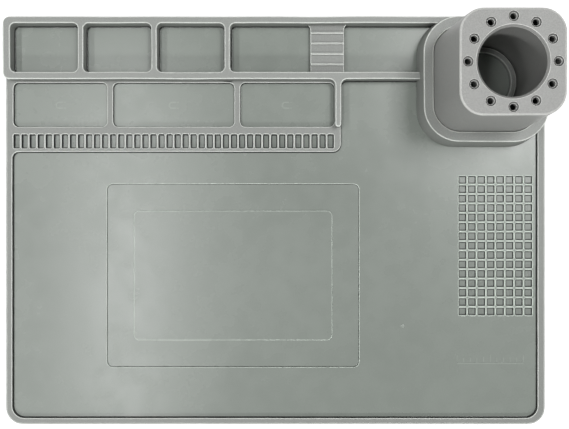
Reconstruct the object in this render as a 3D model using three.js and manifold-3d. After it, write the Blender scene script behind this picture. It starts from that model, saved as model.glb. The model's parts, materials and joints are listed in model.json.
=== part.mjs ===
// A silicone soldering mat with moulded parts trays, and a tool holder that lifts out of a socket at the
// mat's rear right corner. Millimetres, +Z up. The origin is the middle of the mat's underside. +X runs
// to the right of a person working at the mat, and +Y runs away from that person, towards the trays.

import * as THREE from "three";
import { mergeVertices } from "three/addons/utils/BufferGeometryUtils.js";
import Module from "manifold-3d";

const wasm = await Module();
wasm.setup();

// ---- driving dimensions ----

const gap = 0.3; // between a piece and its neighbour
const through = 1; // how far a cutter or a joined block runs past the face it meets
const buried = 0.5; // radius of a corner that ends up inside another block

const mat = { width: 405, depth: 305, rim: 4.8, rightRim: 5.6, frontRadius: 12.5, rearRadius: 5 };

// Heights above the bench
const level = {
  recess: 2.3,
  floor: 3,
  band: 6,
  bridge: 8,
  trayWall: 14,
  collar: 24,
  holderTop: 98,
};

// Deep trays along the rear edge: three square ones, then one long run that the bridge divides
const tray = {
  depth: 36.1,
  width: 50.3,
  squareCount: 3,
  divider: 4.1,
  leftWall: 5.6,
  rearWall: 5.3,
  frontWall: 5.5,
  longWidth: 59.7,
  radius: 4,
};
const bridge = { width: 25.6, ribWidth: 1.5, ribHeight: 1.4, ribPitch: 7.85, ribCount: 4, ribInset: 0.8 };

// Shallow trays and the strip of slots, in the band in front of the deep trays
const band = { depth: 53.3, left: 5.7, radius: 6 };
const shallow = { widths: [70.5, 91, 70.8], depth: 33, divider: 4.4, ledge: 1.5, radius: 4 };
const slot = { count: 40, pitch: 6.05, width: 4.65, length: 10.6, frontEdge: 2.6 };
const fin = { thickness: 4.8, length: 35.4, rootRadius: 4.5 };

// Work surface
const floorRadius = { front: 9, rearLeft: 5 };
const frame = { x: -32, y: -40.8, width: 190, depth: 138, innerWidth: 150, innerDepth: 98, radius: 4.3 };
const grid = { columns: 8, rows: 15, pitch: 7.1, cell: 5.65, x: 166, y: -18.3, pocket: 1.4 };

// Collar that holds the tool holder, and the ring moulded in its floor
const collar = { size: 96.2, radius: 28.3, taper: 0.952, socket: 77, socketRadius: 19.5 };
const ring = { outerRadius: 26.1, innerRadius: 21.9, height: 5 };

// Tool holder: a shell that is open below, with a tube down its middle
const holder = { size: 76.2, radius: 19.1, taper: 0.913, wall: 3.4, topPlate: 5, edge: 1.5 };
const bore = { topRadius: 22.6, bottomRadius: 27.3, wall: 3.2, chamfer: 1.4 };
const toolHole = { count: 12, radius: 2.25, pitchRadius: 29.25, sinkRadius: 3.3, sinkDepth: 1.1 };

// Thin magnet sheets in pockets in the mat's underside, one below each shallow tray
const magnet = { inset: 6, thickness: 1, pocket: 1.6, radius: 3 };

// ---- places worked out from the driving dimensions ----

const left = -mat.width / 2;
const right = mat.width / 2;
const front = -mat.depth / 2;
const rear = mat.depth / 2;

const trayRear = rear - tray.rearWall;
const trayFront = trayRear - tray.depth;
const blockFront = trayFront - tray.frontWall;
const longTrayLeft = left + tray.leftWall + tray.squareCount * (tray.width + tray.divider);
const bridgeLeft = longTrayLeft + tray.longWidth;

const bandFront = blockFront - band.depth;
const cellsLeft = left + band.left;
const cellsWidth = shallow.widths.reduce((sum, width) => sum + width, 0) + 2 * shallow.divider;
const finLeft = cellsLeft + cellsWidth;
const bandRight = finLeft + fin.thickness;
const shallowRear = blockFront - shallow.ledge;

const collarX = right - collar.size / 2;
const collarY = rear - collar.size / 2;

// ---- outlines ----

// A closed outline through corners [x, y, radius], counter-clockwise, each corner rounded by an arc
function roundedOutline(corners) {
  const shape = new THREE.Shape();
  corners.forEach(([x, y, radius], index) => {
    const corner = new THREE.Vector2(x, y);
    const before = corners.at(index - 1);
    const after = corners[(index + 1) % corners.length];
    const arriving = corner.clone().sub(new THREE.Vector2(before[0], before[1])).normalize();
    const leaving = new THREE.Vector2(after[0], after[1]).sub(corner).normalize();
    const turn = Math.atan2(arriving.cross(leaving), arriving.dot(leaving));
    const side = Math.sign(turn);
    const tangent = radius * Math.tan(Math.abs(turn) / 2);
    const start = corner.clone().addScaledVector(arriving, -tangent);
    const inward = new THREE.Vector2(-arriving.y, arriving.x).multiplyScalar(side);
    const centre = start.clone().addScaledVector(inward, radius);
    const startAngle = Math.atan2(start.y - centre.y, start.x - centre.x);
    if (index === 0) {
      shape.moveTo(start.x, start.y);
    } else {
      shape.lineTo(start.x, start.y);
    }
    shape.absarc(centre.x, centre.y, radius, startAngle, startAngle + turn, side < 0);
  });
  shape.closePath();
  return shape;
}

// A rounded rectangle between two edges in x and two in y
function roundedBox(x0, x1, y0, y1, radius) {
  return roundedOutline([
    [x0, y0, radius],
    [x1, y0, radius],
    [x1, y1, radius],
    [x0, y1, radius],
  ]);
}

// A rounded square about the origin
function roundedSquare(size, radius) {
  return roundedBox(-size / 2, size / 2, -size / 2, size / 2, radius);
}

function circle(radius) {
  return new THREE.Shape().absarc(0, 0, radius, 0, 2 * Math.PI, false);
}

// ---- solids ----

function solidFrom(geometry) {
  geometry.deleteAttribute("normal");
  geometry.deleteAttribute("uv");
  const merged = mergeVertices(geometry, 1e-4);
  const vertProperties = new Float32Array(merged.attributes.position.array);
  const triVerts = new Uint32Array(merged.index.array);
  return new wasm.Manifold(new wasm.Mesh({ numProp: 3, vertProperties, triVerts }));
}

function geometryFrom(solid) {
  const mesh = solid.getMesh();
  const geometry = new THREE.BufferGeometry();
  geometry.setAttribute("position", new THREE.BufferAttribute(mesh.vertProperties, 3));
  geometry.setIndex(new THREE.BufferAttribute(mesh.triVerts, 1));
  geometry.computeVertexNormals();
  return geometry;
}

// An outline about the origin, swept up through sections { z, scale } and set down at x, y
function loft(outline, sections, x = 0, y = 0, arcSteps = 3) {
  const steps = sections.length - 1;
  const options = { depth: steps, steps, bevelEnabled: false, curveSegments: arcSteps };
  const geometry = new THREE.ExtrudeGeometry(outline, options);
  const position = geometry.attributes.position;
  for (let i = 0; i < position.count; i += 1) {
    const section = sections[Math.round(position.getZ(i))];
    const px = x + section.scale * position.getX(i);
    const py = y + section.scale * position.getY(i);
    position.setXYZ(i, px, py, section.z);
  }
  return solidFrom(geometry);
}

function prism(outline, low, high) {
  return loft(outline, [{ z: low, scale: 1 }, { z: high, scale: 1 }]);
}

// A box centred on x, y that stands on z = low
function box(x, y, low, width, depth, height) {
  const geometry = new THREE.BoxGeometry(width, depth, height);
  geometry.translate(x, y, low + height / 2);
  return solidFrom(geometry);
}

function cone(x, y, low, lowRadius, high, highRadius, segments) {
  const geometry = new THREE.CylinderGeometry(highRadius, lowRadius, high - low, segments);
  geometry.rotateX(Math.PI / 2);
  geometry.translate(x, y, (low + high) / 2);
  return solidFrom(geometry);
}

// ---- mat ----

// The flat sheet, whose rear right corner follows the collar's
function sheet() {
  const outline = roundedOutline([
    [left, front, mat.frontRadius],
    [right, front, mat.frontRadius],
    [right, rear, collar.radius],
    [left, rear, mat.rearRadius],
  ]);
  return prism(outline, 0, level.band);
}

// The tall block that holds the deep trays, with the fin that runs forward from it
function trayBlock() {
  const finFront = blockFront - fin.length;
  const finEnd = 0.49 * fin.thickness; // just under a half circle, so that the end keeps both its corners
  const outline = roundedOutline([
    [left, blockFront, mat.rearRadius],
    [finLeft, blockFront, fin.rootRadius],
    [finLeft, finFront, finEnd],
    [bandRight, finFront, finEnd],
    [bandRight, blockFront, fin.rootRadius],
    [collarX, blockFront, buried],
    [collarX, rear, buried],
    [left, rear, mat.rearRadius],
  ]);
  return prism(outline, level.floor - through, level.trayWall);
}

// The open floor runs round the right of the band, up to the tray wall and the collar
function workFloor() {
  const outline = roundedOutline([
    [left + mat.rim, front + mat.rim, floorRadius.front],
    [right - mat.rightRim, front + mat.rim, floorRadius.front],
    [right - mat.rightRim, blockFront, buried],
    [bandRight, blockFront, fin.rootRadius],
    [bandRight, bandFront, band.radius],
    [left + mat.rim, bandFront, floorRadius.rearLeft],
  ]);
  return prism(outline, level.floor, level.trayWall + through);
}

function deepTrays() {
  const top = level.trayWall + through;
  let cut = prism(roundedBox(longTrayLeft, collarX, trayFront, trayRear, tray.radius), level.floor, top);
  for (let i = 0; i < tray.squareCount; i += 1) {
    const x = left + tray.leftWall + i * (tray.width + tray.divider);
    cut = cut.add(prism(roundedBox(x, x + tray.width, trayFront, trayRear, tray.radius), level.floor, top));
  }
  return cut;
}

// A low block across the long tray, with ribs on it that keep tools from rolling
function trayBridge() {
  const top = level.bridge + bridge.ribHeight;
  const x0 = bridgeLeft;
  const x1 = bridgeLeft + bridge.width;
  const block = roundedBox(x0, x1, trayFront - through, trayRear + through, buried);
  let solid = prism(block, level.floor - through, level.bridge);
  for (let i = 0; i < bridge.ribCount; i += 1) {
    const offset = (i - (bridge.ribCount - 1) / 2) * bridge.ribPitch;
    const y = (trayFront + trayRear) / 2 + offset;
    const half = bridge.ribWidth / 2;
    const rib = roundedBox(x0 + bridge.ribInset, x1 - bridge.ribInset, y - half, y + half, half / 2);
    solid = solid.add(prism(rib, level.bridge - through, top));
  }
  return solid;
}

// Left and right edges of each shallow tray
function shallowSpans() {
  let x = cellsLeft;
  return shallow.widths.map((width) => {
    const span = [x, x + width];
    x += width + shallow.divider;
    return span;
  });
}

function shallowTrays() {
  const top = level.trayWall + through;
  const y0 = shallowRear - shallow.depth;
  return shallowSpans()
    .map(([x0, x1]) => prism(roundedBox(x0, x1, y0, shallowRear, shallow.radius), level.floor, top))
    .reduce((all, one) => all.add(one));
}

function slots() {
  const y = bandFront + slot.frontEdge + slot.length / 2;
  const deep = 2 * (level.band - level.floor);
  let cut = null;
  for (let i = 0; i < slot.count; i += 1) {
    const x = cellsLeft + slot.width / 2 + i * slot.pitch;
    const one = box(x, y, level.floor, slot.width, slot.length, deep);
    cut = cut ? cut.add(one) : one;
  }
  return cut;
}

// A shallow frame sunk round the middle of the work surface
function workFrame() {
  const { x, y, radius } = frame;
  const around = (width, depth) => {
    const halfWidth = width / 2;
    const halfDepth = depth / 2;
    return roundedBox(x - halfWidth, x + halfWidth, y - halfDepth, y + halfDepth, radius);
  };
  const outer = around(frame.width, frame.depth);
  const inner = around(frame.innerWidth, frame.innerDepth);
  return prism(outer, level.recess, level.band).subtract(prism(inner, 0, level.band + through));
}

function gridPockets() {
  const low = level.floor - grid.pocket;
  let cut = null;
  for (let row = 0; row < grid.rows; row += 1) {
    for (let column = 0; column < grid.columns; column += 1) {
      const x = grid.x + (column - (grid.columns - 1) / 2) * grid.pitch;
      const y = grid.y + (row - (grid.rows - 1) / 2) * grid.pitch;
      const one = box(x, y, low, grid.cell, grid.cell, 2 * grid.pocket);
      cut = cut ? cut.add(one) : one;
    }
  }
  return cut;
}

function collarBlock() {
  const sections = [
    { z: 0, scale: 1 },
    { z: level.band, scale: 1 },
    { z: level.collar, scale: collar.taper },
  ];
  return loft(roundedSquare(collar.size, collar.radius), sections, collarX, collarY, 5);
}

function collarSocket() {
  const sections = [
    { z: level.floor, scale: 1 },
    { z: level.collar + through, scale: 1 },
  ];
  return loft(roundedSquare(collar.socket, collar.socketRadius), sections, collarX, collarY, 4);
}

// A ring that stands inside the holder's tube and keeps it from tipping
function locatingRing() {
  const outline = circle(ring.outerRadius);
  outline.holes.push(circle(ring.innerRadius));
  const sections = [
    { z: level.floor - through, scale: 1 },
    { z: level.floor + ring.height, scale: 1 },
  ];
  return loft(outline, sections, collarX, collarY, 16);
}

// The outline of the magnet sheet below a shallow tray, grown by a margin on every side
function magnetOutline([x0, x1], margin) {
  const inset = magnet.inset - margin;
  const y0 = shallowRear - shallow.depth + inset;
  return roundedBox(x0 + inset, x1 - inset, y0, shallowRear - inset, magnet.radius + margin);
}

function magnetPockets() {
  return shallowSpans()
    .map((span) => prism(magnetOutline(span, gap), -through, magnet.pocket))
    .reduce((all, one) => all.add(one));
}

function matSolid() {
  return sheet()
    .subtract(workFloor())
    .add(trayBlock())
    .subtract(deepTrays())
    .subtract(shallowTrays())
    .subtract(slots())
    .subtract(workFrame())
    .subtract(gridPockets())
    .subtract(magnetPockets())
    .add(trayBridge())
    .add(collarBlock())
    .subtract(collarSocket())
    .add(locatingRing());
}

// ---- tool holder ----

const holderFoot = level.floor + gap;

// Width of the outer shell, as a share of its width at the foot, at height z above the bench
function holderScale(z) {
  const rise = Math.max(0, z - level.collar) / (level.holderTop - level.collar);
  return 1 + (holder.taper - 1) * rise;
}

function holderShell() {
  const shoulder = level.holderTop - holder.edge;
  const crown = holder.taper - (2 * holder.edge) / holder.size;
  const sections = [
    { z: holderFoot, scale: 1 },
    { z: level.collar, scale: 1 },
    { z: shoulder, scale: holderScale(shoulder) },
    { z: level.holderTop - holder.edge / 3, scale: (holder.taper * 2 + crown) / 3 },
    { z: level.holderTop, scale: crown },
  ];
  return loft(roundedSquare(holder.size, holder.radius), sections, 0, 0, 4);
}

function holderHollow() {
  const ceiling = level.holderTop - holder.topPlate;
  const share = 1 - (2 * holder.wall) / holder.size;
  const sections = [
    { z: holderFoot - through, scale: share },
    { z: level.collar, scale: share },
    { z: ceiling, scale: share + holderScale(ceiling) - 1 },
  ];
  return loft(roundedSquare(holder.size, holder.radius), sections, 0, 0, 4);
}

function holderTube() {
  const lowRadius = bore.bottomRadius + bore.wall;
  const highRadius = bore.topRadius + bore.wall;
  return cone(0, 0, holderFoot, lowRadius, level.holderTop - holder.edge, highRadius, 40);
}

function holderBore() {
  const segments = 48;
  const low = holderFoot - through;
  const high = level.holderTop + through;
  const sinkLow = level.holderTop - bore.chamfer;
  const wide = bore.topRadius + bore.chamfer + through;
  return cone(0, 0, low, bore.bottomRadius, high, bore.topRadius, segments).add(
    cone(0, 0, sinkLow, bore.topRadius, high, wide, segments),
  );
}

// Holes for tweezers and screwdrivers, in a circle round the bore, each with a countersunk mouth
function toolHoles() {
  const segments = 16;
  const low = level.holderTop - holder.topPlate - through;
  const high = level.holderTop + through;
  const sinkLow = level.holderTop - toolHole.sinkDepth;
  const slope = (toolHole.sinkRadius - toolHole.radius) / toolHole.sinkDepth;
  let cut = null;
  for (let i = 0; i < toolHole.count; i += 1) {
    const angle = (2 * Math.PI * i) / toolHole.count;
    const x = toolHole.pitchRadius * Math.cos(angle);
    const y = toolHole.pitchRadius * Math.sin(angle);
    const shaft = cone(x, y, low, toolHole.radius, high, toolHole.radius, segments);
    const mouth = cone(x, y, sinkLow, toolHole.radius, high, toolHole.sinkRadius + slope * through, segments);
    const one = shaft.add(mouth);
    cut = cut ? cut.add(one) : one;
  }
  return cut;
}

function holderSolid() {
  return holderShell()
    .subtract(holderHollow())
    .add(holderTube())
    .subtract(holderBore())
    .subtract(toolHoles());
}

// ---- assembly ----

const silicone = { color: 0x969b95, roughness: 0.55, metalness: 0 };
const magnetRubber = { color: 0x2b2b2d, roughness: 0.75, metalness: 0 };

function part(name, solid, finish) {
  const mesh = new THREE.Mesh(geometryFrom(solid), new THREE.MeshStandardMaterial(finish));
  mesh.name = name;
  return mesh;
}

const solderingMat = new THREE.Group();
solderingMat.add(part("mat", matSolid(), silicone));

const toolHolder = part("tool_holder", holderSolid(), silicone);
toolHolder.position.set(collarX, collarY, 0);
solderingMat.add(toolHolder);

const magnetNames = ["magnet_sheet_left", "magnet_sheet_middle", "magnet_sheet_right"];
shallowSpans().forEach((span, index) => {
  const sheetSolid = prism(magnetOutline(span, 0), gap, gap + magnet.thickness);
  solderingMat.add(part(magnetNames[index], sheetSolid, magnetRubber));
});

export default solderingMat;
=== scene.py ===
# The looks of a silicone soldering mat and the tool holder that lifts out of its rear right corner.
# Shapes are worked out in millimetres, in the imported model's own frame, and written to Blender in metres:
# the origin is the middle of the mat's underside, +X runs right, +Y runs to the rear and +Z is up.

import json
import math

import bmesh
import bpy
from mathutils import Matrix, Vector, noise

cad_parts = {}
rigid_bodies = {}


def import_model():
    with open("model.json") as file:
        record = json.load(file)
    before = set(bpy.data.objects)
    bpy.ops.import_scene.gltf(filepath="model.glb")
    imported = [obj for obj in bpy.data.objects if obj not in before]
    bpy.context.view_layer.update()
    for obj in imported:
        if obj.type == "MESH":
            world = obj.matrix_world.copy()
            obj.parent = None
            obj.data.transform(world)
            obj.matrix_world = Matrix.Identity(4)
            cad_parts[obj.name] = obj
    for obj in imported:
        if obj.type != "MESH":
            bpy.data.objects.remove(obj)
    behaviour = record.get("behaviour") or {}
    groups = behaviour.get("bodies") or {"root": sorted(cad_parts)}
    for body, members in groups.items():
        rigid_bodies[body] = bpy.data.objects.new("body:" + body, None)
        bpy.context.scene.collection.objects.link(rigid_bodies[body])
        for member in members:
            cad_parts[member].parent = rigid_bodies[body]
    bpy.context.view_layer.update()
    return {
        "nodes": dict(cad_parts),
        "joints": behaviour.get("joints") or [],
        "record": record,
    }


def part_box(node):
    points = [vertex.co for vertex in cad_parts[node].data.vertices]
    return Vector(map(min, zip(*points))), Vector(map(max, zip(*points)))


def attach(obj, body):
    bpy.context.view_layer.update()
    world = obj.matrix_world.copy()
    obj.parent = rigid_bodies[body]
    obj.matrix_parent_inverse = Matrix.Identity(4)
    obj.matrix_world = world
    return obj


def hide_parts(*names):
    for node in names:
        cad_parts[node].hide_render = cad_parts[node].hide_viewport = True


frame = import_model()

MM = 0.001

# ---- places taken from the frame, in millimetres ----

record = frame["record"]
joint = frame["joints"][0]
MAT_BODY = joint["parent"]
HOLDER_BODY = joint["child"]
MAGNETS = ("magnet_sheet_left", "magnet_sheet_middle", "magnet_sheet_right")


def box_mm(node):
    low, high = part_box(node)
    return low / MM, high / MM


mat_low, mat_high = box_mm("mat")
holder_low, holder_high = box_mm("tool_holder")
LEFT, RIGHT = mat_low.x, mat_high.x
FRONT, REAR = mat_low.y, mat_high.y
HOLDER_X, HOLDER_Y = ((holder_low + holder_high) / 2).xy

# A tray's opening in the record is the tray's own space, less this clearance at each wall
TRAY_CLEARANCE = 1.5


def tray_edges(name):
    """Left, right, front and rear walls of the tray that an opening in the record lies in."""
    found = [o for o in record["physics"]["openings"] if o["name"] == name]
    low, high = (Vector(corner) / MM for corner in found[0]["box_m"])
    c = TRAY_CLEARANCE
    return low.x - c, high.x + c, low.y - c, high.y + c


deep_edges = [tray_edges(f"deep_tray_{i}") for i in (1, 2, 3)]
long_edges = tray_edges("long_tray")
end_edges = tray_edges("end_tray")
shallow_edges = [tray_edges(f"shallow_tray_{i}") for i in (1, 2, 3)]
work_middle = Vector([m for m in record["mounts"] if m["name"] == "work_surface"][0]["pos_m"]) / MM

# ---- heights and sizes, in millimetres ----

FLOOR_Z = work_middle.z
BAND_Z = 6.0
BRIDGE_Z = 8.0
WALL_Z = 14.0
COLLAR_Z = mat_high.z
HOLDER_Z = holder_high.z

RIM = 4.8
RIGHT_RIM = 5.6
FRONT_RADIUS = 12.5
BLOCK_RADIUS = 5.0
TRAY_RADIUS = 4.0
TRAY_WALL = 5.5
FIN = 4.8
FIN_LENGTH = 35.4
FIN_ROOT = 4.5
BAND_DEPTH = 53.3
BAND_RADIUS = 6.0
FLOOR_RADIUS = 9.0

SLOTS = 40
SLOT_PITCH = 6.05
SLOT_WIDTH = 4.65
SLOT_LENGTH = 10.6
SLOT_FROM_FRONT = 2.6
SLOT_RADIUS = 0.95

FRAME_SIZE = (190.0, 138.0)
FRAME_INNER = (150.0, 98.0)
FRAME_RADIUS = 4.3
FRAME_SINK = 0.75

GRID_COLUMNS = 8
GRID_ROWS = 15
GRID_PITCH = 7.1
GRID_CELL = 5.65
GRID_SINK = 1.4
GRID_RADIUS = 0.75
GRID_FROM_RIGHT = 36.5
GRID_FROM_FRONT = 134.2

BRIDGE_RIBS = 4
BRIDGE_RIB_PITCH = 7.85
BRIDGE_RIB_WIDTH = 1.7
BRIDGE_RIB_HEIGHT = 1.4
BRIDGE_RIB_INSET = 0.4
BRIDGE_RIB_RADIUS = 0.8
BRIDGE_FLARE = 3.5

COLLAR = 96.2
COLLAR_RADIUS = 28.3
COLLAR_DRAFT = 2.2
SOCKET = 77.0
SOCKET_RADIUS = 19.5
RING_OUTER = 26.1
RING_INNER = 21.9
RING_HEIGHT = 5.0

HOLDER = holder_high.x - holder_low.x
HOLDER_RADIUS = 19.1
HOLDER_DRAFT = 3.3
HOLDER_SKIN = 3.4
HOLDER_TOP_PLATE = 5.0
BORE_TOP = 22.6
BORE_BOTTOM = 27.3
BORE_CHAMFER = 1.4
BORE_SEGMENTS = 144
TUBE_SKIN = 3.2
TOOL_HOLES = 12
TOOL_HOLE_RADIUS = 2.25
TOOL_HOLE_RING = 29.25
TOOL_HOLE_MOUTH = 3.4
TOOL_HOLE_SINK = 1.0

MAGNET_GAP = 0.3
MAGNET_POCKET = 1.6
MAGNET_RADIUS = 3.3

BLOCK_FRONT = long_edges[2] - TRAY_WALL
BAND_FRONT = BLOCK_FRONT - BAND_DEPTH
CELLS_LEFT = shallow_edges[0][0]
FIN_LEFT = shallow_edges[-1][1]
FIN_RIGHT = FIN_LEFT + FIN
COLLAR_HALF = COLLAR / 2

# ---- outlines and lofts ----

ARC_STEPS = 5
STRAIGHT_STEP = 12.0  # longest straight stretch between two points of an outline
ABOVE = 2.0  # how far a cutter runs past the face it opens through
SUNK = 1.0  # how far a joined block runs into the blocks below and beside it
BURIED = 0.5  # radius of a corner that ends up inside another block
UNDER_EDGE = 0.6  # radius of the edge that lies on the bench


def outline(corners, grow, steps):
    """Points round corners (x, y, radius), counter-clockwise, each rounded, then moved outwards by grow."""
    arcs = []
    for i, (x, y, radius) in enumerate(corners):
        here = Vector((x, y))
        arriving = (here - Vector(corners[i - 1][:2])).normalized()
        leaving = (Vector(corners[(i + 1) % len(corners)][:2]) - here).normalized()
        turn = math.atan2(arriving.cross(leaving), arriving.dot(leaving))
        side = math.copysign(1, turn)
        inward = Vector((-arriving.y, arriving.x)) * side
        centre = here - arriving * radius * math.tan(abs(turn) / 2) + inward * radius
        start = math.atan2(-inward.y, -inward.x)
        angles = [start + turn * step / steps for step in range(steps + 1)]
        spokes = [Vector((math.cos(angle), math.sin(angle))) for angle in angles]
        ends = centre + radius * spokes[0], centre + radius * spokes[-1]
        arcs.append(([centre + (radius + side * grow) * spoke for spoke in spokes], ends))
    points = []
    for i, (arc_points, ends) in enumerate(arcs):
        points += arc_points
        following, following_ends = arcs[(i + 1) % len(arcs)]
        pieces = max(1, round((following_ends[0] - ends[1]).length / STRAIGHT_STEP))
        points += [arc_points[-1].lerp(following[0], piece / pieces) for piece in range(1, pieces)]
    return points


def rectangle(x0, x1, y0, y1, radius):
    return [(x0, y0, radius), (x1, y0, radius), (x1, y1, radius), (x0, y1, radius)]


def centred(x, y, width, depth, radius):
    return rectangle(x - width / 2, x + width / 2, y - depth / 2, y + depth / 2, radius)


def mesh_object(name, points, faces):
    mesh = bpy.data.meshes.new(name)
    mesh.from_pydata([Vector(p) * MM for p in points], [], faces)
    obj = bpy.data.objects.new(name, mesh)
    bpy.context.scene.collection.objects.link(obj)
    return obj


def stack(name, rings):
    """A closed solid through rings of points, all of one length, with flat ends."""
    count = len(rings[0])
    points = [p for ring in rings for p in ring]
    faces = [tuple(reversed(range(count)))]
    for level in range(len(rings) - 1):
        low, high = level * count, (level + 1) * count
        for i in range(count):
            j = (i + 1) % count
            faces.append((low + i, low + j, high + j, high + i))
    faces.append(tuple(range(len(points) - count, len(points))))
    return mesh_object(name, points, faces)


def loft(name, corners, profile, steps=8):
    """A solid whose outline grows as profile, a list of (grow, z) from the bottom up, says."""
    rings = [[(*p, z) for p in outline(corners, grow, steps)] for grow, z in profile]
    return stack(name, rings)


def turned(name, x, y, profile, segments):
    """A round solid about a vertical axis through x, y, from a profile of (radius, z), bottom up."""
    angles = [2 * math.pi * i / segments for i in range(segments)]
    rings = [[(x + r * math.cos(a), y + r * math.sin(a), z) for a in angles] for r, z in profile]
    return stack(name, rings)


def arc(x, z, radius, start, end, steps=ARC_STEPS):
    """Points (x, z) of a profile, or (x, y) of a plan, on an arc; degrees run from +x to the other axis."""
    turns = [math.radians(start + (end - start) * i / steps) for i in range(steps + 1)]
    return [(x + radius * math.cos(t), z + radius * math.sin(t)) for t in turns]


def hollow(floor, top, draft, foot, lip):
    """Profile of a cutter: a flat floor, a rounded foot, a drafted wall, and a lip rounded outwards."""
    profile = arc(-draft - foot, floor + foot, foot, -90, 0)
    profile += arc(lip, top - lip, lip, 180, 90)
    return profile + [(lip, top + ABOVE)]


def boss(low, top, draft, edge):
    """Profile of a raised block: a straight side, drafted inwards, and a rounded top edge."""
    return [(0, low)] + arc(-draft - edge, top - edge, edge, 0, 90)


def standing(shoulder, top, draft, edge):
    """Profile of a block on the bench: rounded below, straight to its shoulder, then drafted."""
    profile = arc(-UNDER_EDGE, UNDER_EDGE, UNDER_EDGE, -90, 0, 3)
    profile += [(0, shoulder)]
    return profile + arc(-draft - edge, top - edge, edge, 0, 90)


# ---- joining and cutting ----


def boolean(target, tool, operation):
    modifier = target.modifiers.new("boolean", "BOOLEAN")
    modifier.operation = operation
    modifier.solver = "MANIFOLD"
    modifier.object = tool
    bpy.context.view_layer.update()
    evaluated = target.evaluated_get(bpy.context.evaluated_depsgraph_get())
    result = bpy.data.meshes.new_from_object(evaluated)
    target.modifiers.clear()
    target.data = result
    bpy.data.objects.remove(tool)


def add(target, *tools):
    for tool in tools:
        boolean(target, tool, "UNION")


def cut(target, *tools):
    for tool in tools:
        boolean(target, tool, "DIFFERENCE")


def together(name, objects):
    """One object that holds separate solids, so that one boolean cuts or joins them all."""
    merged = bmesh.new()
    for obj in objects:
        merged.from_mesh(obj.data)
        bpy.data.objects.remove(obj)
    mesh = bpy.data.meshes.new(name)
    merged.to_mesh(mesh)
    merged.free()
    result = bpy.data.objects.new(name, mesh)
    bpy.context.scene.collection.objects.link(result)
    return result


# ---- mat ----

PROUD = 0.03  # how far a block's side stands in front of the sheet's, where the two would coincide


def sheet():
    corners = [
        (LEFT, FRONT, FRONT_RADIUS),
        (RIGHT, FRONT, FRONT_RADIUS),
        (RIGHT, REAR, COLLAR_RADIUS),
        (LEFT, REAR, BLOCK_RADIUS),
    ]
    edge = 1.3
    profile = arc(-PROUD - UNDER_EDGE, UNDER_EDGE, UNDER_EDGE, -90, 0, 3)
    profile += arc(-PROUD - edge, BAND_Z - edge, edge, 0, 90)
    return loft("sheet", corners, profile)


def work_floor():
    """The open floor, which runs round the right of the band and up to the tray block and the collar."""
    inner_right = RIGHT - RIGHT_RIM
    collar_left = HOLDER_X - COLLAR_HALF + COLLAR_RADIUS
    collar_front = HOLDER_Y - COLLAR_HALF + COLLAR_RADIUS
    corners = [
        (LEFT + RIM, FRONT + RIM, FLOOR_RADIUS),
        (inner_right, FRONT + RIM, FLOOR_RADIUS),
        (inner_right, collar_front, BURIED),
        (collar_left, collar_front, BURIED),
        (collar_left, BLOCK_FRONT + 0.1, BURIED),
        (FIN_RIGHT, BLOCK_FRONT, FIN_ROOT),
        (FIN_RIGHT, BAND_FRONT, BAND_RADIUS),
        (LEFT + RIM, BAND_FRONT, BLOCK_RADIUS),
    ]
    return loft("work_floor", corners, hollow(FLOOR_Z, BAND_Z, draft=0.1, foot=0.6, lip=0.6))


def tray_block():
    """The tall block that holds the deep trays, with the fin that runs forward from it."""
    fin_front = BLOCK_FRONT - FIN_LENGTH
    fin_end = 0.49 * FIN  # a hair under half, so that the two corners never meet
    rear_turn = COLLAR_HALF - COLLAR_RADIUS  # ends the rear wall where the collar's own begins
    corners = [
        (LEFT, BLOCK_FRONT, BLOCK_RADIUS),
        (FIN_LEFT, BLOCK_FRONT, FIN_ROOT),
        (FIN_LEFT, fin_front, fin_end),
        (FIN_RIGHT, fin_front, fin_end),
        (FIN_RIGHT, BLOCK_FRONT, FIN_ROOT),
        (HOLDER_X, BLOCK_FRONT, BURIED),
        (HOLDER_X, REAR, rear_turn),
        (LEFT, REAR, BLOCK_RADIUS),
    ]
    return loft("tray_block", corners, standing(BAND_Z, WALL_Z, draft=0.2, edge=0.8))


def deep_trays():
    profile = hollow(FLOOR_Z, WALL_Z, draft=0.3, foot=0.9, lip=0.8)
    x0, _, y0, y1 = long_edges
    spans = [*deep_edges, (x0, HOLDER_X, y0, y1)]
    cutters = [loft("tray", rectangle(*edges, TRAY_RADIUS), profile) for edges in spans]
    return together("deep_trays", cutters)


def shallow_trays():
    profile = hollow(FLOOR_Z, BAND_Z, draft=0.1, foot=0.4, lip=0.5)
    cutters = [loft("tray", rectangle(*edges, TRAY_RADIUS), profile) for edges in shallow_edges]
    return together("shallow_trays", cutters)


def slots():
    profile = hollow(FLOOR_Z, BAND_Z, draft=0.05, foot=0.8, lip=0.6)
    y0 = BAND_FRONT + SLOT_FROM_FRONT
    cutters = []
    for i in range(SLOTS):
        x0 = CELLS_LEFT + i * SLOT_PITCH
        corners = rectangle(x0, x0 + SLOT_WIDTH, y0, y0 + SLOT_LENGTH, SLOT_RADIUS)
        cutters.append(loft("slot", corners, profile, steps=3))
    return together("slots", cutters)


def work_frame():
    """A shallow frame sunk round the middle of the work surface: the cutter, then the middle put back."""
    x, y = work_middle.xy
    low = FLOOR_Z - FRAME_SINK
    sunk = hollow(low, FLOOR_Z, draft=0.05, foot=0.35, lip=0.4)
    raised = boss(low - SUNK, FLOOR_Z, draft=0.1, edge=0.4)
    cutter = loft("frame", centred(x, y, *FRAME_SIZE, FRAME_RADIUS), sunk)
    middle = loft("middle", centred(x, y, *FRAME_INNER, FRAME_RADIUS), raised)
    return cutter, middle


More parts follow.
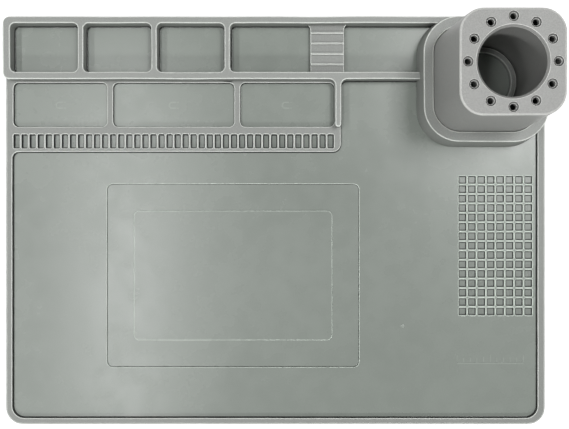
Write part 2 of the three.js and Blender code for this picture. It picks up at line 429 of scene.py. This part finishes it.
def grid_pockets():
    profile = hollow(FLOOR_Z - GRID_SINK, FLOOR_Z, draft=0.05, foot=0.6, lip=0.65)
    middle_x = RIGHT - GRID_FROM_RIGHT
    middle_y = FRONT + GRID_FROM_FRONT
    cutters = []
    for row in range(GRID_ROWS):
        for column in range(GRID_COLUMNS):
            x = middle_x + (column - (GRID_COLUMNS - 1) / 2) * GRID_PITCH
            y = middle_y + (row - (GRID_ROWS - 1) / 2) * GRID_PITCH
            corners = centred(x, y, GRID_CELL, GRID_CELL, GRID_RADIUS)
            cutters.append(loft("pocket", corners, profile, steps=3))
    return together("pockets", cutters)


def bridge():
    """A low block across the long tray, flared where it meets the rear wall, with ribs across it."""
    x0, x1 = long_edges[1], end_edges[0]
    y0, y1 = long_edges[2] - SUNK, long_edges[3] + SUNK
    wall = long_edges[3]
    wing = 2 * BRIDGE_FLARE
    tip = 0.3
    corners = [
        (x0, y0, BURIED),
        (x1, y0, BURIED),
        (x1, wall, BRIDGE_FLARE),
        (x1 + wing, wall, tip),
        (x1 + wing, y1, tip),
        (x0 - wing, y1, tip),
        (x0 - wing, wall, tip),
        (x0, wall, BRIDGE_FLARE),
    ]
    block = loft("bridge", corners, boss(FLOOR_Z - SUNK, BRIDGE_Z, draft=0.15, edge=0.5))
    profile = boss(BRIDGE_Z - SUNK, BRIDGE_Z + BRIDGE_RIB_HEIGHT, draft=0.1, edge=0.5)
    length = x1 - x0 - 2 * BRIDGE_RIB_INSET
    ribs = []
    for i in range(BRIDGE_RIBS):
        y = (long_edges[2] + wall) / 2 + (i - (BRIDGE_RIBS - 1) / 2) * BRIDGE_RIB_PITCH
        rib = centred((x0 + x1) / 2, y, length, BRIDGE_RIB_WIDTH, BRIDGE_RIB_RADIUS)
        ribs.append(loft("rib", rib, profile, steps=4))
    return block, together("ribs", ribs)


def collar():
    corners = centred(HOLDER_X, HOLDER_Y, COLLAR, COLLAR, COLLAR_RADIUS)
    shoulder = BAND_Z - 1.5
    return loft("collar", corners, standing(shoulder, COLLAR_Z, COLLAR_DRAFT, edge=0.8), steps=24)


def socket():
    corners = centred(HOLDER_X, HOLDER_Y, SOCKET, SOCKET, SOCKET_RADIUS)
    return loft("socket", corners, hollow(FLOOR_Z, COLLAR_Z, draft=0, foot=0.5, lip=0.8), steps=20)


def locating_ring():
    """The ring that stands inside the holder's foot; its section is a round-topped wall."""
    top = FLOOR_Z + RING_HEIGHT
    edge = 0.8
    outer = [(RING_OUTER, FLOOR_Z - SUNK)] + arc(RING_OUTER - edge, top - edge, edge, 0, 90)
    inner = [(RING_INNER, FLOOR_Z - SUNK - ABOVE)] + arc(RING_INNER + edge, top - edge, edge, 180, 90)
    inner += [(RING_INNER + edge, top + ABOVE)]
    ring = turned("ring", HOLDER_X, HOLDER_Y, outer, segments=128)
    cut(ring, turned("hole", HOLDER_X, HOLDER_Y, inner, segments=128))
    return ring


def magnet_pockets():
    """Pockets in the underside, one round each magnet sheet."""
    cutters = []
    for name in MAGNETS:
        low, high = box_mm(name)
        g = MAGNET_GAP
        corners = rectangle(low.x - g, high.x + g, low.y - g, high.y + g, MAGNET_RADIUS)
        cutters.append(loft("pocket", corners, [(0, -ABOVE), (0, MAGNET_POCKET)]))
    return together("magnet_pockets", cutters)


# ---- marks moulded on the mat ----

MARK_HEIGHT = 0.25
MARK_ROOT = 0.5  # how far a mark runs down into the floor
HORSESHOE_RADIUS = 2.2
HORSESHOE_LEG = 3.0
HORSESHOE_WIDTH = 1.1
POLE_GAP = 0.7
POLE_LENGTH = 1.2

SCALE_LENGTH = 50
SCALE_SPACING = 5
SCALE_FROM_RIGHT = 15.6
SCALE_FROM_FRONT = 45.5
SCALE_WIDTH = 0.7
TICK_GAP = 1.0
LONG_TICK = 5.5
SHORT_TICK = 3.5
LONG_TICK_EVERY = 5

GATE_FROM_RIGHT = 106.5
GATE_FROM_FRONT = 73.6


def stroke(name, path, width):
    """A low raised line of even width along path, points (x, y) on the open floor or a tray's floor."""
    points = [Vector(p) for p in path]
    near, far = [], []
    for i, point in enumerate(points):
        ahead = points[min(i + 1, len(points) - 1)] - points[max(i - 1, 0)]
        across = Vector((-ahead.y, ahead.x)).normalized() * width / 2
        near.append(point - across)
        far.append(point + across)
    ring = near + far[::-1]
    levels = FLOOR_Z - MARK_ROOT, FLOOR_Z + MARK_HEIGHT
    return stack(name, [[(*p, z) for p in ring] for z in levels])


def magnet_marks():
    """A plain horseshoe in the middle of each shallow tray, for the magnet sheet below it."""
    marks = []
    for x0, x1, y0, y1 in shallow_edges:
        x, y = (x0 + x1) / 2, (y0 + y1) / 2
        bow_x, end_x = x - HORSESHOE_LEG / 2, x + HORSESHOE_LEG / 2
        pole_x = end_x + POLE_GAP
        low, high = y - HORSESHOE_RADIUS, y + HORSESHOE_RADIUS
        bow = arc(bow_x, y, HORSESHOE_RADIUS, 90, 270, 10)
        marks.append(stroke("horseshoe", [(end_x, high), *bow, (end_x, low)], HORSESHOE_WIDTH))
        for tip in (low, high):
            pole = [(pole_x, tip), (pole_x + POLE_LENGTH, tip)]
            marks.append(stroke("pole", pole, HORSESHOE_WIDTH))
    return together("magnet_marks", marks)


def scale_marks():
    """A plain scale in millimetres, without figures, low on the right of the work surface."""
    x0 = RIGHT - SCALE_FROM_RIGHT - SCALE_LENGTH
    y = FRONT + SCALE_FROM_FRONT
    foot = y + TICK_GAP
    marks = [stroke("scale", [(x0, y), (x0 + SCALE_LENGTH, y)], SCALE_WIDTH)]
    for i in range(SCALE_LENGTH // SCALE_SPACING + 1):
        x = x0 + i * SCALE_SPACING
        tick = LONG_TICK if i % LONG_TICK_EVERY == 0 else SHORT_TICK
        marks.append(stroke("tick", [(x, foot), (x, foot + tick)], SCALE_WIDTH))
    return together("scale_marks", marks)


def gate_mark():
    """The small round scar of the mould's gate, a low cut-off cone."""
    wide, narrow = 1.3, 0.9
    profile = [(wide, FLOOR_Z - MARK_ROOT), (wide, FLOOR_Z + 0.1), (narrow, FLOOR_Z + 0.3)]
    return turned("gate", RIGHT - GATE_FROM_RIGHT, FRONT + GATE_FROM_FRONT, profile, segments=24)


def build_mat():
    mat = sheet()
    cut(mat, work_floor())
    frame_cutter, frame_middle = work_frame()
    cut(mat, frame_cutter)
    add(mat, frame_middle)
    cut(mat, grid_pockets())
    add(mat, tray_block())
    cut(mat, deep_trays(), shallow_trays(), slots())
    add(mat, *bridge())
    add(mat, collar())
    cut(mat, socket())
    add(mat, locating_ring())
    cut(mat, magnet_pockets())
    add(mat, magnet_marks(), scale_marks(), gate_mark())
    mat.name = "mat_moulding"
    return mat


# ---- tool holder ----


def holder_bore():
    """The bore widens towards the foot, and has a chamfer with a softened edge round its mouth."""
    foot = holder_low.z
    lip = 0.3
    mouth = BORE_TOP + BORE_CHAMFER + lip
    shoulder = HOLDER_Z - BORE_CHAMFER - lip
    profile = [(BORE_BOTTOM, foot - ABOVE), (BORE_BOTTOM, foot), (BORE_TOP, shoulder - lip)]
    profile += [(BORE_TOP + 0.1, shoulder)]
    profile += arc(mouth, HOLDER_Z - lip, lip, 160, 90, 3)
    profile += [(mouth, HOLDER_Z + ABOVE)]
    return turned("bore", HOLDER_X, HOLDER_Y, profile, BORE_SEGMENTS)


def tool_hole_cutters():
    """Holes in a circle round the bore, each with a shallow dished mouth."""
    dish = TOOL_HOLE_MOUTH - TOOL_HOLE_RADIUS
    lip = 0.2
    profile = [(TOOL_HOLE_RADIUS, HOLDER_Z - HOLDER_TOP_PLATE - ABOVE)]
    profile += [(TOOL_HOLE_RADIUS, HOLDER_Z - TOOL_HOLE_SINK)]
    profile += [(TOOL_HOLE_RADIUS + 0.15, HOLDER_Z - TOOL_HOLE_SINK + 0.1)]
    profile += [(TOOL_HOLE_RADIUS + 0.75 * dish, HOLDER_Z - 0.65 * TOOL_HOLE_SINK)]
    profile += arc(TOOL_HOLE_MOUTH + lip, HOLDER_Z - lip, lip, 180, 90, 3)
    profile += [(TOOL_HOLE_MOUTH + lip, HOLDER_Z + ABOVE)]
    cutters = []
    for i in range(TOOL_HOLES):
        angle = 2 * math.pi * i / TOOL_HOLES
        x = HOLDER_X + TOOL_HOLE_RING * math.cos(angle)
        y = HOLDER_Y + TOOL_HOLE_RING * math.sin(angle)
        cutters.append(turned("hole", x, y, profile, segments=40))
    return together("holes", cutters)


def build_holder():
    """A drafted square shell, open below, with the bore's tube down its middle."""
    corners = centred(HOLDER_X, HOLDER_Y, HOLDER, HOLDER, HOLDER_RADIUS)
    foot = holder_low.z
    foot_edge = 0.5
    edge = 1.4
    skin = arc(-foot_edge, foot + foot_edge, foot_edge, -90, 0, 3) + [(0, COLLAR_Z)]
    skin += arc(-HOLDER_DRAFT - edge, HOLDER_Z - edge, edge, 0, 90)
    holder = loft("holder", corners, skin, steps=24)
    inside = [(-HOLDER_SKIN, foot - ABOVE), (-HOLDER_SKIN, COLLAR_Z)]
    inside += [(-HOLDER_SKIN - HOLDER_DRAFT, HOLDER_Z - HOLDER_TOP_PLATE)]
    cut(holder, loft("inside", corners, inside, steps=24))
    tube_top = HOLDER_Z - HOLDER_TOP_PLATE / 2
    tube = [(BORE_BOTTOM + TUBE_SKIN, foot), (BORE_TOP + TUBE_SKIN, tube_top)]
    add(holder, turned("tube", HOLDER_X, HOLDER_Y, tube, BORE_SEGMENTS))
    cut(holder, holder_bore())
    cut(holder, tool_hole_cutters())
    holder.name = "tool_holder_shell"
    return holder


# ---- surface: soft sway, painted highlights and painted shade, and smooth shading ----

SWAY = 0.35  # how far a tall wall may stand off its straight line
SWAY_LENGTH = 45.0  # distance over which the sway changes
SWAY_SEED = 1  # Blender would otherwise draw the sway afresh in each run
HIGHLIGHT_BENDS = 0.2, 1.4  # bend per millimetre where a face's painted highlight starts, and where it is full
SHADE_BENDS = 0.25, 0.6  # the same for a hollow bend, which gets painted shade instead
SLOT_SHADE = 0.22  # how far a slot's floor gets the painted shade of a foot
POCKET_SHADE = 0.18  # and a grid pocket's floor
LOW_WALL_SHADE = 0.9  # and a low wall
MARK_HIGHLIGHT = 0.15  # how far a mark gets the painted highlight of a tight rounded edge
COLLAR_MARGIN = 0.1  # faces this near the collar count as part of it
TOUCH = 0.01  # heights nearer than this are the same
SHARP_ANGLE = 38  # degrees


def sway(obj, low, high):
    """Moves points sideways, smoothly, and more the higher they stand, as on a soft moulding."""
    noise.seed_set(SWAY_SEED)
    for vertex in obj.data.vertices:
        place = vertex.co / MM
        shift = noise.noise_vector(Vector((place.x, place.y, place.z / 3)) / SWAY_LENGTH)
        share = min(1, place.z / WALL_Z)
        for axis in (0, 1):
            moved = place[axis] + SWAY * share * shift[axis]
            vertex.co[axis] = MM * min(max(moved, low[axis]), high[axis])


def ramp(value, start, end):
    """0 up to start, 1 from end on, and even in between."""
    return min(1, max(0, (value - start) / (end - start)))


def is_low_wall(middle, normal):
    """Whether a face is a low wall on the inside of the rim, away from the collar."""
    inside_x = LEFT + RIM / 2 < middle.x < RIGHT - RIM / 2
    inside_y = FRONT + RIM / 2 < middle.y < REAR - RIM / 2
    from_holder = max(abs(middle.x - HOLDER_X), abs(middle.y - HOLDER_Y))
    at_collar = from_holder < COLLAR_HALF + COLLAR_MARGIN
    upright = abs(normal.z) < 0.3
    return inside_x and inside_y and not at_collar and upright and middle.z < BAND_Z


def is_among_slots(middle):
    slots_rear = BAND_FRONT + SLOT_FROM_FRONT + SLOT_LENGTH
    return BAND_FRONT < middle.y < slots_rear and middle.x < FIN_RIGHT


def paint_highlights_and_shade(obj):
    """Stores on each face its painted highlight, stronger the tighter the rounded edge it belongs to, and
    its painted shade, deeper in feet, low walls and the floors of slots and pockets.
    """
    shape = bmesh.new()
    shape.from_mesh(obj.data)
    edge = shape.faces.layers.float.new("edge")
    painted_shade = shape.faces.layers.float.new("painted_shade")
    for face in shape.faces:
        area = face.calc_area() / MM**2
        bend = sum(side.calc_face_angle_signed(0) * side.calc_length() for side in face.edges) / MM
        per_mm = bend / (2 * area + 1e-6)
        middle = face.calc_center_median() / MM
        above_floor = middle.z - FLOOR_Z
        on_a_mark = TOUCH < above_floor < 2 * MARK_HEIGHT
        on_the_floor = abs(above_floor) < TOUCH
        # painted highlight on tight rounded edges, fainter on the marks; painted shade in hollow bends such
        # as feet
        face[edge] = MARK_HIGHLIGHT if on_a_mark else ramp(per_mm, *HIGHLIGHT_BENDS)
        face[painted_shade] = 0 if on_the_floor else ramp(-per_mm, *SHADE_BENDS)
        # painted shade on low walls inside the rim and on the floors of slots and grid pockets
        if is_low_wall(middle, face.normal) and not on_a_mark:
            face[painted_shade] = max(face[painted_shade], LOW_WALL_SHADE)
        if on_the_floor and is_among_slots(middle):
            face[painted_shade] = SLOT_SHADE
        if abs(above_floor + GRID_SINK) < TOUCH:
            face[painted_shade] = POCKET_SHADE
    shape.to_mesh(obj.data)
    shape.free()


def shade(obj):
    """Smooth shading that keeps the flat faces flat and breaks at sharp edges."""
    for polygon in obj.data.polygons:
        polygon.use_smooth = True
    obj.data.set_sharp_from_angle(angle=math.radians(SHARP_ANGLE))
    modifier = obj.modifiers.new("weighted", "WEIGHTED_NORMAL")
    modifier.keep_sharp = True


# ---- materials ----

RAISED_HEIGHTS = 3.4 * MM, 5.5 * MM  # between these, a floor's surface turns into a raised part's
LIT_TOP_HEIGHTS = 9 * MM, 13 * MM  # and between these, a raised part is painted a little paler, as painted light on the tall tops
HIGHLIGHT_GAIN = 1.75  # how much the painted highlight on a tight rounded edge adds to its own colour
SHADE_LOSS = 0.92  # and how much the painted shade in a foot takes off


class Recipe:
    """A node material that starts from a Principled shader, with short calls for the nodes used here."""

    def __init__(self, name):
        self.material = bpy.data.materials.new(name)
        self.material.use_nodes = True
        self.tree = self.material.node_tree
        self.shader = self.tree.nodes["Principled BSDF"]
        self.place = self.tree.nodes.new("ShaderNodeTexCoord").outputs["Object"]

    def feed(self, inlet, value):
        if isinstance(value, bpy.types.NodeSocket):
            self.tree.links.new(value, inlet)
        else:
            inlet.default_value = value

    def noise(self, scale, detail=2.0):
        node = self.tree.nodes.new("ShaderNodeTexNoise")
        node.inputs["Scale"].default_value = scale
        node.inputs["Detail"].default_value = detail
        self.feed(node.inputs["Vector"], self.place)
        return node.outputs["Fac"]

    def span(self, value, start, end, low, high):
        """Turns start..end into low..high along a smooth curve, and holds the ends."""
        node = self.tree.nodes.new("ShaderNodeMapRange")
        node.interpolation_type = "SMOOTHSTEP"
        for label, number in zip(("From Min", "From Max", "To Min", "To Max"), (start, end, low, high)):
            node.inputs[label].default_value = number
        self.feed(node.inputs["Value"], value)
        return node.outputs["Result"]

    def total(self, first, second, times=1):
        """First plus second times a number."""
        node = self.tree.nodes.new("ShaderNodeMath")
        node.operation = "MULTIPLY_ADD"
        self.feed(node.inputs[0], second)
        self.feed(node.inputs[1], times)
        self.feed(node.inputs[2], first)
        return node.outputs["Value"]

    def between(self, share, first, second):
        """A colour between two others."""
        node = self.tree.nodes.new("ShaderNodeValToRGB")
        node.color_ramp.elements[0].color = (*first, 1)
        node.color_ramp.elements[1].color = (*second, 1)
        self.feed(node.inputs["Fac"], share)
        return node.outputs["Color"]

    def shaded(self, colour, strength):
        """Colour made darker or lighter by strength, a number round 1."""
        node = self.tree.nodes.new("ShaderNodeVectorMath")
        node.operation = "SCALE"
        self.feed(node.inputs[0], colour)
        self.feed(node.inputs["Scale"], strength)
        return node.outputs["Vector"]

    def varied(self, colour, value, low, high, depth):
        """Colour made darker or lighter by up to depth, as value runs from low to high."""
        return self.shaded(colour, self.span(value, low, high, 1 - depth, 1 + depth))

    def stored(self, name):
        """A number that paint_highlights_and_shade stored on the faces."""
        node = self.tree.nodes.new("ShaderNodeAttribute")
        node.attribute_name = name
        return node.outputs["Fac"]

    def distance(self):
        """How far the point lies from the origin, in metres."""
        node = self.tree.nodes.new("ShaderNodeVectorMath")
        node.operation = "LENGTH"
        self.feed(node.inputs[0], self.place)
        return node.outputs["Value"]

    def height(self):
        """Height above the bench, in metres."""
        node = self.tree.nodes.new("ShaderNodeSeparateXYZ")
        self.feed(node.inputs["Vector"], self.place)
        return node.outputs["Z"]

    def bump(self, height, depth, under=None):
        """Relief, depth metres from its lowest to its highest, on top of the relief under it."""
        node = self.tree.nodes.new("ShaderNodeBump")
        node.inputs["Distance"].default_value = depth
        self.feed(node.inputs["Height"], height)
        if under is not None:
            self.feed(node.inputs["Normal"], under)
        return node.outputs["Normal"]


def silicone(name, low_colour, high_colour, low_roughness, high_roughness):
    """Moulded silicone: satin on the floors, drier and neutral on what stands up, with painted light on
    tall tops, painted highlights on rounded edges and painted shade in feet and hollows.
    """
    r = Recipe(name)
    raised = r.span(r.height(), *RAISED_HEIGHTS, 0, 1)
    tall = r.span(r.height(), *LIT_TOP_HEIGHTS, 0, 1)
    patches = r.noise(9, 1)
    smears = r.noise(70, 4)
    grain = r.noise(1700, 2)
    colour = r.between(raised, low_colour, high_colour)
    # painted light: the tall tops are painted up to 12 % paler than the lower raised parts
    colour = r.shaded(colour, r.span(tall, 0, 1, 1, 1.12))
    colour = r.varied(colour, patches, 0.3, 0.7, 0.015)
    colour = r.varied(colour, smears, 0.35, 0.65, 0.01)
    grain_depth = r.span(raised, 0, 1, 0.06, 0.2)
    colour = r.shaded(colour, r.total(1, r.span(grain, 0.3, 0.7, -0.5, 0.5), grain_depth))
    # painted highlight along tight rounded edges and on the marks
    colour = r.shaded(colour, r.total(1, r.stored("edge"), HIGHLIGHT_GAIN))
    # painted shade in feet, on low walls and on the floors of slots and pockets
    colour = r.shaded(colour, r.total(1, r.stored("painted_shade"), -SHADE_LOSS))
    r.feed(r.shader.inputs["Base Color"], colour)
    rough = r.span(raised, 0, 1, low_roughness, high_roughness)
    rough = r.total(rough, r.span(smears, 0.3, 0.7, -0.02, 0.02))
    rough = r.total(rough, r.span(patches, 0.3, 0.7, -0.02, 0.02))
    r.feed(r.shader.inputs["Roughness"], rough)
    r.shader.inputs["IOR"].default_value = 1.52
    swell = r.bump(r.noise(9, 0), 0.12 * MM)
    peel = r.bump(r.noise(260, 2), 0.008 * MM, swell)
    fine = r.bump(grain, 0.012 * MM, peel)
    r.feed(r.shader.inputs["Normal"], fine)
    return r.material


def magnet_rubber():
    """Flexible magnet sheet: near-black ferrite rubber with faint rolled lines and grey dust."""
    r = Recipe("magnet_rubber")
    dust = r.noise(140, 5)
    colour = r.between(r.span(dust, 0.45, 0.75, 0, 0.35), (0.028, 0.028, 0.03), (0.11, 0.105, 0.1))
    r.feed(r.shader.inputs["Base Color"], colour)
    r.feed(r.shader.inputs["Roughness"], r.span(dust, 0.3, 0.7, 0.62, 0.82))
    lines = r.tree.nodes.new("ShaderNodeTexWave")
    lines.inputs["Scale"].default_value = 160
    lines.inputs["Distortion"].default_value = 0.6
    r.feed(lines.inputs["Vector"], r.place)
    r.feed(r.shader.inputs["Normal"], r.bump(lines.outputs["Fac"], 0.02 * MM))
    return r.material


def stage_paint():
    """White paint that glows more the farther out it lies, so that the floor stays pale to its edge."""
    r = Recipe("stage_white")
    white = 0.9, 0.9, 0.9
    r.feed(r.shader.inputs["Base Color"], r.shaded(white, r.span(r.noise(3, 2), 0.3, 0.7, 0.99, 1)))
    r.shader.inputs["Roughness"].default_value = 0.95
    r.shader.inputs["Emission Color"].default_value = (1, 1, 1, 1)
    r.feed(r.shader.inputs["Emission Strength"], r.span(r.distance(), 0.5, 2.5, 0.3, 1))
    return r.material


def dress(obj, material):
    obj.data.materials.clear()
    obj.data.materials.append(material)


# ---- pieces on their bodies ----

MAT_FLOOR_COLOUR = (0.222, 0.246, 0.222)
MAT_RAISED_COLOUR = (0.242, 0.252, 0.238)
HOLDER_COLOUR = (0.264, 0.266, 0.256)
MAT_FLOOR_ROUGHNESS = 0.27
MAT_RAISED_ROUGHNESS = 0.45
HOLDER_ROUGHNESS = 0.5


def place_pieces():
    mat = build_mat()
    sway(mat, mat_low, mat_high)
    paint_highlights_and_shade(mat)
    colours = MAT_FLOOR_COLOUR, MAT_RAISED_COLOUR
    dress(mat, silicone("mat_silicone", *colours, MAT_FLOOR_ROUGHNESS, MAT_RAISED_ROUGHNESS))
    shade(mat)
    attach(mat, MAT_BODY)
    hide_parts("mat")

    holder = build_holder()
    sway(holder, mat_low, mat_high)
    paint_highlights_and_shade(holder)
    colours = HOLDER_COLOUR, HOLDER_COLOUR
    dress(holder, silicone("holder_silicone", *colours, HOLDER_ROUGHNESS, HOLDER_ROUGHNESS))
    shade(holder)
    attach(holder, HOLDER_BODY)
    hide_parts("tool_holder")

    rubber = magnet_rubber()
    for name in MAGNETS:
        dress(frame["nodes"][name], rubber)


# ---- stage, lights and camera ----

LIGHT_LEVEL = 1.03  # what the ceiling lights together send down, as the radiance of a white surface
ROOM_SHARE = 0.1  # the room adds this share of it, evenly from all sides
CAMERA_PLACE = 0.0068, 0.0089, 0.65  # metres, almost straight above the middle of the mat
CAMERA_LENS = 54.26  # millimetres, on a sensor 36 mm wide
CAMERA_SHIFT = -0.00861  # of the picture's width, which moves the mat up in it


def stage_floor():
    """A wide floor just below the mat."""
    half = 3000
    z = -0.2
    corners = [(-half, -half, z), (half, -half, z), (half, half, z), (-half, half, z)]
    floor = mesh_object("stage_floor", corners, [(0, 1, 2, 3)])
    dress(floor, stage_paint())


def light_at_origin(x, y, z):
    """Light that a level panel over the ranges x and y sends down on to the origin, for a radiance of 1."""
    steps = 30
    width, depth = x[1] - x[0], y[1] - y[0]
    piece = width * depth / steps ** 2
    total = 0
    for i in range(steps):
        for j in range(steps):
            px = x[0] + width * (i + 0.5) / steps
            py = y[0] + depth * (j + 0.5) / steps
            total += piece * z * z / (px * px + py * py + z * z) ** 2
    return total


def ceiling_light(name, x, y, z, share):
    """A level panel or strip over the ranges x and y, in metres, that gives its share of the light."""
    width, depth = x[1] - x[0], y[1] - y[0]
    radiance = share * LIGHT_LEVEL * math.pi / light_at_origin(x, y, z)
    light = bpy.data.lights.new(name, "AREA")
    light.shape = "RECTANGLE"
    light.size = width
    light.size_y = depth
    light.energy = radiance * math.pi * width * depth
    obj = bpy.data.objects.new(name, light)
    obj.location = (sum(x) / 2, sum(y) / 2, z)
    bpy.context.scene.collection.objects.link(obj)


def lights():
    ceiling_light("strip_far_left", x=(-1.25, -1.15), y=(-1.2, 1.2), z=1.9, share=0.21)
    ceiling_light("strip_left", x=(-0.54, -0.44), y=(-0.75, 0.48), z=2.0, share=0.22)
    ceiling_light("panel_right", x=(0.5, 0.9), y=(0.2, 0.8), z=2.0, share=0.25)
    ceiling_light("strip_right", x=(1.07, 1.17), y=(-0.3, 1.2), z=3.0, share=0.06)
    ceiling_light("strip_far_right", x=(1.2, 1.3), y=(-0.3, 1.2), z=1.95, share=0.06)
    ceiling_light("panel_front", x=(-0.8, 0.8), y=(-2.2, -1.7), z=1.5, share=0.20)


def room():
    """A dim white room, which looks plain white where the camera sees past the floor."""
    world = bpy.data.worlds.new("room")
    world.use_nodes = True
    tree = world.node_tree
    seen = tree.nodes.new("ShaderNodeLightPath").outputs["Is Camera Ray"]
    strength = tree.nodes.new("ShaderNodeMath")
    strength.operation = "MAXIMUM"
    strength.inputs[1].default_value = ROOM_SHARE * LIGHT_LEVEL
    tree.links.new(seen, strength.inputs[0])
    background = tree.nodes["Background"]
    background.inputs["Color"].default_value = (1, 1, 1, 1)
    tree.links.new(strength.outputs["Value"], background.inputs["Strength"])
    bpy.context.scene.world = world


def camera():
    """A camera that looks straight down."""
    data = bpy.data.cameras.new("camera")
    data.sensor_width = 36
    data.lens = CAMERA_LENS
    data.shift_y = CAMERA_SHIFT
    obj = bpy.data.objects.new("camera", data)
    obj.location = CAMERA_PLACE
    bpy.context.scene.collection.objects.link(obj)
    bpy.context.scene.camera = obj


place_pieces()
stage_floor()
lights()
room()
camera()
bpy.context.scene.view_settings.view_transform = "Standard"
